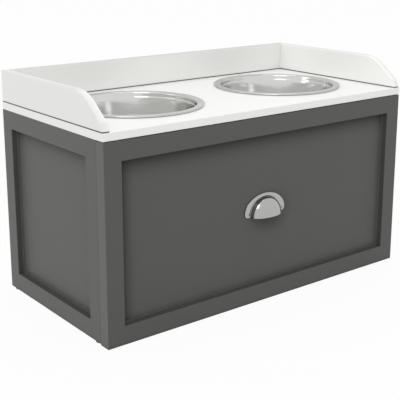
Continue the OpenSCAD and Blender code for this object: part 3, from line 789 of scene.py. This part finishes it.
def cross_recess(made, size, depth, face=0.0):
    """Cuts a tapered cross in the head of a screw, which points along +Z from its face."""
    for turn_over in (False, True):
        layers = []
        for z, share in ((face - depth, CROSS_MOUTH), (face + depth, CROSS_FLOOR)):
            wide, narrow = size / 2 * share, size * CROSS_SHARE * share
            corners = [(wide, narrow), (-wide, narrow), (-wide, -narrow), (wide, -narrow)]
            layers.append([(y, x, z) if turn_over else (x, y, z) for x, y in corners])
        combine(made, new_mesh("cross", layers), "DIFFERENCE")


def wood_screw(head_radius, length, pan=0.0):
    """A wood screw along +Z from the face of its head, countersunk or with a pan head."""
    shank = SCREW_D / 2
    neck = shank * NECK_SHARE
    core = shank * CORE_SHARE
    if pan:
        bend = pan * PAN_BEND
        head = [(0, 0), *arc((head_radius - bend, bend), bend, -90, 0, 5), (head_radius, pan),
                (neck, pan)]
    else:
        head = [(0, 0), (head_radius - HEAD_EASE, 0), (head_radius, 2 * HEAD_EASE),
                (neck, head_radius / 2)]
    start = head[-1][1] + length * SMOOTH_SHARE
    end = length - SCREW_D
    rows = straight(core, start, end, int((end - start) / THREAD_PITCH) * THREAD_ROWS)
    outline = [*head, (neck, start - MERGE), *rows, (core / 3, length - BLUNT), (0, length)]
    made = turned("screw", outline, segments=20, smooth=40,
                  thread=(start, end, THREAD_PITCH, shank - core))
    cross_recess(made, size=head_radius * 1.15, depth=head_radius * 0.55)
    return made



def metal(name, colour, roughness, cloudy, bump, shading=None):
    """A plain metal, bare or plated."""
    return coat(name, colour, roughness, (bump, METAL_BUMP), shading, cloudy, metallic=1.0)


zinc = metal("zinc_plating", ZINC, roughness=0.36, cloudy=(60.0, 1500.0, 0.2, 0.25), bump=0.06)

for node, body, pan in (
        ("gallery_screws", "cabinet", 0), ("runner_channel_screws", "cabinet", 0),
        ("back_panel_screws", "cabinet", PAN_H), ("runner_slide_screws", "drawer", 0),
        ("drawer_front_screws", "drawer", 0)):
    set_out(node, "_cross", partial(wood_screw, pan=pan), zinc, body, "zinc_plated", seed=3)


# Cams and their bolts: zinc die castings that turn on the heads of plated steel bolts and
# pull the boards together. The cams sit flush in bores, with a cross for the driver.
DIE_CAST = (0.5, 0.51, 0.53)
BOLT_HEAD_R = 0.0032
BOLT_HEAD_L = 0.0024
BOLT_HEAD_EASE = 0.0004
BOLT_NECK_R = 0.0016
BOLT_NECK_L = 0.003
BOLT_R = 0.0025
BOLT_STEP = 0.0005
BOLT_THREAD_R = 0.0035
BOLT_THREAD_L = 0.008
BOLT_PITCH = 0.0016
BOLT_RIDGES_TO = 0.001
BOLT_ROWS_TO = 0.86
BOLT_ROWS = 30
die_cast = metal("zinc_die_casting", DIE_CAST, roughness=0.5,
                 cloudy=(80.0, 2200.0, 0.2, 0.2), bump=0.15)
finish_node("cam_locks", die_cast)


def cam_bolt(radius, length):
    """A cam bolt along +Z from the face of its head, with its thread at the other end."""
    start = length - BOLT_THREAD_L
    rows = straight(BOLT_R, start, start + BOLT_THREAD_L * BOLT_ROWS_TO, BOLT_ROWS)
    return turned("cam_bolt", [
        (0, 0), (BOLT_HEAD_R - BOLT_HEAD_EASE, 0), (BOLT_HEAD_R, BOLT_STEP),
        (BOLT_HEAD_R, BOLT_HEAD_L), (BOLT_NECK_R, BOLT_HEAD_L + BOLT_STEP),
        (BOLT_NECK_R, BOLT_HEAD_L + BOLT_NECK_L), (BOLT_R, BOLT_HEAD_L + BOLT_NECK_L + BOLT_STEP),
        (BOLT_R, start - MERGE), *rows, (BOLT_NECK_R, length), (0, length),
    ], segments=24, smooth=40, thread=(start, length - BOLT_RIDGES_TO, BOLT_PITCH,
                                       BOLT_THREAD_R - BOLT_R))


def lie_from_head(points):
    """How a cam bolt lies, whose head is at its thinner end."""
    start, way, radius = lie(points)
    return start + way, -way, radius


set_out("cam_bolts", "_threaded", cam_bolt, zinc, "cabinet", "zinc_plated", how=lie_from_head)


# Glides: feet of black plastic with a rounded sole, one under each stile. Each is driven
# into the end of its stile by the nail that is moulded into it.
GLIDE_NAIL = 0.0009
GLIDE_POINT = 0.002
GLIDE_ROUND = 0.0012
GLIDE_RIM = 0.0003
GLIDE_BLACK = (0.022, 0.022, 0.023)
glide_low, glide_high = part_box("glides")
glide_plastic = coat("black_glide_plastic", GLIDE_BLACK, roughness=0.5, bump=(0.2, 0.0003),
                     cloudy=(80.0, 2500.0, 0.3, 0.2), specular=0.4)


def glide(radius, length):
    """A glide with its nail, upwards from the floor."""
    top = stile_low.z
    return turned("glide", [
        (0, 0), *arc((radius - GLIDE_ROUND, GLIDE_ROUND), GLIDE_ROUND, -90, 0, 5),
        (radius, top - GLIDE_RIM), (radius - GLIDE_RIM, top), (GLIDE_NAIL, top),
        (GLIDE_NAIL, length - GLIDE_POINT), (0, length),
    ], segments=40, smooth=50)


def stand(points):
    """Where a glide stands, its way up and its radius."""
    low, high = extent(points)
    foot = Vector(((low.x + high.x) / 2, (low.y + high.y) / 2, 0))
    return foot, Vector((0, 0, glide_high.z)), (high.y - low.y) / 2


set_out("glides", "_moulded", glide, glide_plastic, "cabinet", "glide_plastic", how=stand)


# Top board and gallery: fibreboard sprayed white, with soft sanded edges. The board lies on
# the sides; the gallery is screwed from below, and its fine joint on it takes painted shade.
WHITE_PAINT = (0.86, 0.86, 0.85)
# The cheeks and the rail take the board's white made a little darker, as painted shade.
CHEEK_WHITE_SHADED = (0.83, 0.83, 0.81)
RAIL_WHITE_SHADED = (0.85, 0.85, 0.83)
WHITE_SPRAY = (0.34, 0.4)
BOARD_EASE = 0.0012
CHEEK_EASE = 0.0024
JOINT_EASE = 0.0012
JOINT_BLACK = 0.001
JOINT_SHADE = 0.02
# Painted shade and light on the board, the cheeks and the rail
BOARD_FRONT_SHADE = 0.96
BOARD_END_SHADE = 0.91
CHEEK_INNER_LIGHT = 1.08
CHEEK_OUTER_SHADE = 0.9
CHEEK_TOP_SHADE = 0.85
RAIL_TOP_SHADE = 0.66
TOP_EASE = 0.002
board_low, board_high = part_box("top_board")
rail_low, rail_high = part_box("gallery_back_rail")
bowl_low, bowl_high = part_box("bowl_right")
bowl_place = (bowl_low + bowl_high) / 2
CUTOUT_R = 0.1005


def joint(distance):
    """Painted shade in a fine joint, black inside and fading over its rounded edge."""
    return fade(distance - JOINT_BLACK, JOINT_EASE, JOINT_SHADE)


def board_shading(at):
    """Paints shade on the board's narrow faces, most of all on its ends."""
    return (fade(board_high.x - abs(at["X"]), BOARD_EASE, BOARD_END_SHADE)
            * fade(at["Y"] - board_low.y, BOARD_EASE, BOARD_FRONT_SHADE))


def cheek_shading(at):
    """Painted shade in the joint under a cheek, on its outside and top; painted light inside."""
    return (joint(at["Z"] - board_high.z)
            * ramp(abs(at["X"]), rail_high.x, board_high.x, CHEEK_INNER_LIGHT, CHEEK_OUTER_SHADE)
            * fade(rail_high.z - at["Z"], TOP_EASE, CHEEK_TOP_SHADE))


def rail_shading(at):
    """Painted shade under the rail, at its tight joints with the cheeks and on its narrow top."""
    return (joint(at["Z"] - board_high.z)
            * fade(rail_high.x - abs(at["X"]), reach=0.003, darkest=0.88)
            * fade(rail_high.z - at["Z"], TOP_EASE, RAIL_TOP_SHADE))


white_board = sprayed("white_lacquer_board", WHITE_PAINT, WHITE_SPRAY, board_shading)
white_cheeks = sprayed("white_lacquer_cheeks", CHEEK_WHITE_SHADED, WHITE_SPRAY, cheek_shading)
white_rail = sprayed("white_lacquer_rail", RAIL_WHITE_SHADED, WHITE_SPRAY, rail_shading)
board_outline = box_edges("top_board")
rail_outline = box_edges("gallery_back_rail")


def board_edges(edge):
    """Weighs the board's outline and the edges of its two round cut-outs."""
    if board_outline(edge):
        return True
    from_middle = [hypot(abs(v.co.x) - bowl_place.x, v.co.y - bowl_place.y) for v in edge.verts]
    return (in_planes(edge, {2: (board_low.z, board_high.z)})
            and all(abs(d - CUTOUT_R) < 2 * NEAR for d in from_middle))


def cheek_edges(edge):
    """Weighs the cheek's outline but for its foot, and nothing where the rail meets it."""
    outer = in_planes(edge, {0: (-board_high.x, board_high.x)})
    inner = in_planes(edge, {0: (-rail_high.x, rail_high.x)})
    middle = (edge.verts[0].co + edge.verts[1].co) / 2
    return ((outer or inner and middle.y < rail_low.y)
            and not in_plane(edge, 2, board_high.z))


def rail_edges(edge):
    """Weighs the rail's long edges, at its foot less, and leaves out its tight ends."""
    if edge.verts[0].co.x == edge.verts[1].co.x or not rail_outline(edge):
        return 0.0
    return 1.0 if in_plane(edge, 2, rail_high.z) else JOINT_EASE / CHEEK_EASE


eased("top_board", BOARD_EASE, board_edges, white_board, "cabinet", "white_board")
eased("gallery_back_rail", CHEEK_EASE, rail_edges, white_rail, "cabinet", "white_board")
for node in ("gallery_left_cheek", "gallery_right_cheek"):
    eased(node, CHEEK_EASE, cheek_edges, white_cheeks, "cabinet", "white_board",
          {1: (rail_low.y,)})


# Runners: cold-rolled steel channels, zinc plated, screwed to the cabinet and to the
# drawer. Balls run between them in a pressed cage, which goes half as far as the drawer.
BEND_R = 0.0011
BRIGHT_ZINC = (0.58, 0.6, 0.64)
BALL_STEEL = (0.6, 0.6, 0.61)
bright_zinc = metal("bright_zinc_runners", BRIGHT_ZINC, roughness=0.3,
                    cloudy=(25.0, 1200.0, 0.15, 0.3), bump=0.05)
ball_steel = metal("ball_bearing_steel", BALL_STEEL, roughness=0.12,
                   cloudy=(200.0, 3000.0, 0.1, 0.1), bump=0.02)


def ball(radius, length):
    """A ball round the origin."""
    mesh = bpy.data.meshes.new("ball")
    with reworked(mesh, mesh) as work:
        bmesh.ops.create_icosphere(work, subdivisions=3, radius=radius)
    mesh.shade_smooth()
    return new_object("ball", mesh)


def rest(points):
    """The middle of a ball, a way up and its radius."""
    low, high = extent(points)
    return sum(points, Vector()) / len(points), Vector((0, 0, 1)), (high.z - low.z) / 2


for side in ("left", "right"):
    for node, body in ((f"runner_channel_{side}", "cabinet"), (f"runner_slide_{side}", "drawer")):
        eased(node, BEND_R, box_edges(node, along=1), bright_zinc, body, "zinc_plated")
    finish_node(f"ball_cage_{side}", zinc)
    set_out(f"balls_{side}", "_polished", ball, ball_steel, f"cage_{side}", "ball_steel",
            how=rest)


# Drawer box: bare fibreboard sides and ends, doweled and glued, round a thin bottom that
# lies in a groove. Its edges are broken by hand.
for node in ("drawer_box_left_side", "drawer_box_right_side", "drawer_box_inner_front",
             "drawer_box_back"):
    eased(node, RAW_EASE, box_edges(node), raw_board, "drawer", "raw_board")
finish_node("drawer_box_bottom", raw_board)


# Drawer front: a wide frame and panel made as the sides are, sprayed in the same grey and
# screwed to the box from inside. Its ends stand level with the outside of the cabinet.
# The sides take this grey made lighter, as painted light, and the ends of the front take painted
# light.
GREY = (0.097, 0.097, 0.0933)
END_LIGHT = 1.24
PULL_SHADE_ASIDE = 0.014
PULL_SHADE_UP = 0.003
PULL_SHADE_W = 0.052
PULL_SHADE_H = 0.041
front_stile_low, front_stile_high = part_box("drawer_front_left_stile")
front_foot_low, front_foot_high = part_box("drawer_front_bottom_rail")
front_head_low, front_head_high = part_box("drawer_front_top_rail")
front_y = front_stile_low.y
front_open_x = abs(front_stile_high.x) + STEP_W
front_open_foot = front_foot_high.z - STEP_W
front_open_head = front_head_low.z + STEP_W
pull_low, pull_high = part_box("cup_pull")


def front_depth(at):
    """How far a place lies behind the face of the drawer front."""
    return at["Y"] - front_y


def front_panel_shading(at):
    """Paints shade on the panel towards its frame, most of all at its top and its left, and a
    shadow under the pull."""
    aside = (at["X"] - PULL_SHADE_ASIDE) / PULL_SHADE_W
    below = (at["Z"] - (pull_low.z + PULL_SHADE_UP)) / PULL_SHADE_H
    from_pull = reckon("SQRT", aside * aside + below * below)
    return (fade(from_pull, reach=1.0, darkest=0.4, bend=1.25)
            * fade(front_open_head - at["Z"], reach=0.045, darkest=0.2, bend=2.6)
            * fade(at["Z"] - front_open_foot, reach=0.01, darkest=0.92)
            * fade(front_open_x + at["X"], reach=0.034, darkest=0.15, bend=2.3)
            * fade(front_open_x - at["X"], reach=0.006, darkest=0.85))


def front_shading(at):
    """Paints light on the ends of the drawer front, and shade on its foot."""
    at_end = reckon("GREATER_THAN", abs(at["X"]), side_x - NEAR)
    return (at_end * (END_LIGHT - 1) + 1.0) * foot_shading(front_foot_low.z)(at)


grey_front = sprayed("satin_grey_drawer_front", GREY, GREY_SPRAY, front_shading)
front_walls = sprayed("satin_grey_front_recess", RECESS_GREY_LIT, WALL_SPRAY, wall_shading(front_depth))
front_panel = sprayed("satin_grey_front_panel", GREY, GREY_SPRAY, front_panel_shading)
front_outline = {0: (-side_x, side_x), 2: (front_foot_low.z, front_head_high.z)}
front_opening = {0: (-front_open_x, front_open_x), 2: (front_open_foot, front_open_head)}
framed("drawer_front", ("left", "right"), 1, front_y, front_outline, front_opening, grey_front,
       front_walls, "drawer", "painted_front")
finish_node("drawer_front_panel", front_panel)


# Cup pull: a zinc casting with a satin nickel finish. A half dome stands on a plate with a
# rounded top, and a screw at each end of the plate holds it on the panel.
PLATE_T = 0.0028
PLATE_FOOT_R = 0.006
PLATE_EASE = 0.0009
CUP_R = 0.03
CUP_WALL = 0.002
CUP_NECK = 0.005
PLATE_STEPS = 64
CAP_STEPS = 22
CUP_STEPS = 72
CUP_FLARE = 0.001
CUP_FILLET = 0.0005
NECK_TOP = 0.0087
NECK_EASE = 0.001
NECK_SHADE = 0.42
LIP_EASE = 0.0006
LIP_FROM = radians(40)
OVAL_H = 0.0014
OVAL_DOME = 0.8
OVAL_TIP = 0.001
OVAL_SHANK_R = 0.0014
CLEAR = 0.00002
NICKEL = (0.43, 0.427, 0.415)
pull_half_w = pull_high.x
pull_h = pull_high.z - pull_low.z
pull_out = pull_high.y - pull_low.y


def at_pull(x, up, out):
    """A point of the pull, from the middle of its foot on the panel."""
    return (x, pull_high.y - out, pull_low.z + up)


def weighted(made, weigh, radius):
    """Rounds the edges of an object that weigh picks."""
    with reworked(made.data, made.data) as work:
        weights = work.edges.layers.float.new("bevel_weight_edge")
        for edge in work.edges:
            edge[weights] = float(len(edge.link_faces) == 2 and weigh(edge))
    round_off(made, radius)
    settle(made)


def slab(name, line, outs):
    """A body with one outline all through, between two distances from the panel."""
    return new_mesh(name, [[at_pull(x, up, out) for x, up in line] for out in outs])


plate_top = pull_h - PLATE_FOOT_R
plate_line = [*arc((0, PLATE_FOOT_R), pull_half_w, 0, 180, PLATE_STEPS, height=plate_top),
              *arc((PLATE_FOOT_R - pull_half_w, PLATE_FOOT_R), PLATE_FOOT_R, 180, 270, 8)[1:],
              *arc((pull_half_w - PLATE_FOOT_R, PLATE_FOOT_R), PLATE_FOOT_R, 270, 360, 8)[:-1]]
plate = slab("pull_plate", plate_line, (0, PLATE_T))
weighted(plate, lambda edge: in_plane(edge, 1, pull_high.y - PLATE_T), PLATE_EASE)

cap = pull_out - CUP_NECK
fillet_r = CUP_R + CUP_FLARE + CUP_FILLET
inner_r = CUP_R - CUP_WALL
cup_line = [(fillet_r, 0), *arc((fillet_r, PLATE_T + CUP_FILLET), CUP_FILLET, 270, 180, 6),
            *arc((0, CUP_NECK), CUP_R, 0, 90, CAP_STEPS, height=cap),
            *arc((0, CUP_NECK), inner_r, 90, 0, CAP_STEPS, height=cap - CUP_WALL), (inner_r, 0)]
cup = new_mesh("pull_cup", [[at_pull(r * x, CLEAR + r * y, out) for r, out in cup_line]
                            for x, y in arc((0, 0), 1, 0, 180, CUP_STEPS)])
hole_line = arc((0, 0), CUP_R - CUP_WALL / 2, 0, 360, CUP_STEPS)[:-1]
hole = slab("pull_hole", hole_line, (-PLATE_T, 2 * PLATE_T))


def lip_edges(edge):
    """Weighs the edges of the cup's open side."""
    return in_plane(edge, 2, pull_low.z + CLEAR) and edge.calc_face_angle() > LIP_FROM


weighted(cup, lip_edges, LIP_EASE)
combine(plate, hole, "DIFFERENCE")
combine(plate, cup, "UNION")
plate.name = "cup_pull_cast"
plate.data.name = plate.name
smoothed(plate.data, 35)


def neck_shading(at):
    """Paints shade on the plating in the neck, between the plate and the dome."""
    out = pull_high.y - at["Y"]
    return reckon("MAXIMUM", ramp(out, PLATE_T, PLATE_T + CUP_FILLET / 2, 1.0, NECK_SHADE),
                  ramp(out, NECK_TOP, NECK_TOP + NECK_EASE, NECK_SHADE, 1.0))


satin = {"roughness": 0.17, "cloudy": (150.0, 2600.0, 0.08, 0.12), "bump": 0.03}
nickel = metal("satin_nickel", NICKEL, **satin)
cast_nickel = metal("satin_nickel_casting", NICKEL, shading=neck_shading, **satin)
dress(plate, cast_nickel, "drawer", "satin_nickel", "cup_pull")


def pull_screw(radius, length):
    """A screw with an oval head, along +Z from the face of its head."""
    oval = [(0, 0), *arc((0, 1), 1, -88, -50, 6)]
    oval = [(r * radius / oval[-1][0], z * OVAL_H * OVAL_DOME / oval[-1][1]) for r, z in oval]
    made = turned("pull_screw", [
        *oval, (radius, OVAL_H), (OVAL_SHANK_R, OVAL_H), (OVAL_SHANK_R, length - OVAL_TIP),
        (0, length),
    ], segments=28, smooth=50)
    cross_recess(made, size=radius * 1.1, depth=radius * 0.5, face=radius * 0.1)
    return made


set_out("pull_screws", "_oval", pull_screw, nickel, "drawer", "satin_nickel", seed=5)


# Bowls: each is one disc of stainless steel, spun to a deep dish with a flat flange and a
# rolled edge, then polished. It hangs loose in its cut-out by the flange.
RIM_H = 0.003
SHEET = 0.001
MOUTH_R = 0.098
FLOOR_R = 0.068
WAIST_R = 0.089
DEPTH = 0.055
SEAT_GAP = 0.0003
LEDGE_DEPTH = 0.0085
LEDGE_STEP = 0.0007
POLISHED = 1.28
POLISHED_GLOSS = 0.07
TOOL_MARKS = 420.0
MARK_CHANGE = 0.12
MARK_GLOSS = 0.14
STEEL = (0.5, 0.5, 0.49)


def corner(a, b, c, radius, steps):
    """Points of an arc that rounds the corner at b of a line from a to c."""
    a, b, c = Vector(a), Vector(b), Vector(c)
    u = (a - b).normalized()
    w = (c - b).normalized()
    half = u.angle(w) / 2
    centre = b + (u + w).normalized() * radius / sin(half)
    start = b + u * radius / tan(half) - centre
    end = b + w * radius / tan(half) - centre
    return [centre + (start * (steps - i) + end * i).normalized() * radius
            for i in range(steps + 1)]


def as_sheet(line, thickness):
    """A line with its copy at a distance on its right-hand side, as one outline."""
    outer = []
    for i, point in enumerate(line):
        way = line[min(i + 1, len(line) - 1)] - line[max(i - 1, 0)]
        outer.append(point + Vector((way.y, -way.x)).normalized() * thickness)
    outer[0].x = 0
    return [*line, *reversed(outer)]


def between(a, b, steps):
    """Points on a straight line, without its ends."""
    return [a + (b - a) * i / steps for i in range(1, steps)]


rim_top = board_high.z + RIM_H
bead_r = (RIM_H - SEAT_GAP) / 2
rim_r = (bowl_high.x - bowl_low.x) / 2
bowl_floor = rim_top - DEPTH
floor_point = Vector((FLOOR_R, bowl_floor))
foot_point = Vector((WAIST_R, bowl_floor))
mouth_point = Vector((MOUTH_R, rim_top))
bead_point = Vector((rim_r - bead_r, rim_top))
floor_turn = corner(floor_point, foot_point, mouth_point, WAIST_R - FLOOR_R, 16)
mouth_turn = corner(foot_point, mouth_point, bead_point, RIM_H, 8)
middle_point = Vector((0, bowl_floor))
wall_way = (mouth_turn[0] - floor_turn[-1]).normalized()
ledge_point = mouth_point - wall_way * LEDGE_DEPTH
inwards = Vector((-LEDGE_STEP, 0))
ledge = [ledge_point + inwards - wall_way * LEDGE_STEP, ledge_point + inwards * 0.85,
         ledge_point + inwards * 0.15 + wall_way * LEDGE_STEP * 0.3,
         ledge_point + wall_way * LEDGE_STEP * 1.3]
bead = [Vector((bead_point.x + r, bead_point.y + z))
        for r, z in arc((0, -bead_r), bead_r, 90, -90, 10)]
bowl_line = [middle_point, *between(middle_point, floor_turn[0], 12), *floor_turn,
             *between(floor_turn[-1], ledge[0], 6), *ledge,
             *between(ledge[-1], mouth_turn[0], 3), *mouth_turn,
             *between(mouth_turn[-1], bead[0], 4), *bead]
bowl_outline = [tuple(p) for p in as_sheet(bowl_line, SHEET)]

spun_steel, tree, shader, place = new_finish(
    "spun_stainless_steel", metallic=1.0, anisotropic=0.55)
round_way = add(tree, "ShaderNodeTangent", direction_type="UV_MAP", uv_map="UVMap")
give(shader.inputs["Tangent"], round_way)
own_map = add(tree, "ShaderNodeUVMap", uv_map="UVMap")
across = add(tree, "ShaderNodeSeparateXYZ", {0: own_map})["Y"]
height = add(tree, "ShaderNodeSeparateXYZ", {0: place})["Z"]
within = 1.0 - ramp(height, rim_top - 2 * SHEET, rim_top - SHEET / 2)
tool_marks = add(tree, "ShaderNodeTexNoise", {
    "W": across * TOOL_MARKS, "Scale": 1.0, "Detail": 4.0,
}, noise_dimensions="1D")["Fac"]
skin = mottled(tree, place, STEEL, roughness=0.17, drift_scale=30.0, grain_scale=1800.0,
               colour_change=0.08, gloss_change=0.12)
mark = tool_marks - 0.5
shown = tint(skin["Colour"], (mark * MARK_CHANGE + 1.0) * (within * (POLISHED - 1) + 1.0))
gloss = mark * MARK_GLOSS + skin["Roughness"] - within * POLISHED_GLOSS
cover(shader, shown, gloss, tool_marks, strength=0.08, depth=0.0002)

for side, x in (("left", -bowl_place.x), ("right", bowl_place.x)):
    bowl = turned(f"bowl_{side}_spun", bowl_outline, segments=160, smooth=60,
                  centre=(x, bowl_place.y, 0), finish=spun_steel)
    dress(bowl, spun_steel, f"bowl_{side}", "bowl_steel", f"bowl_{side}")
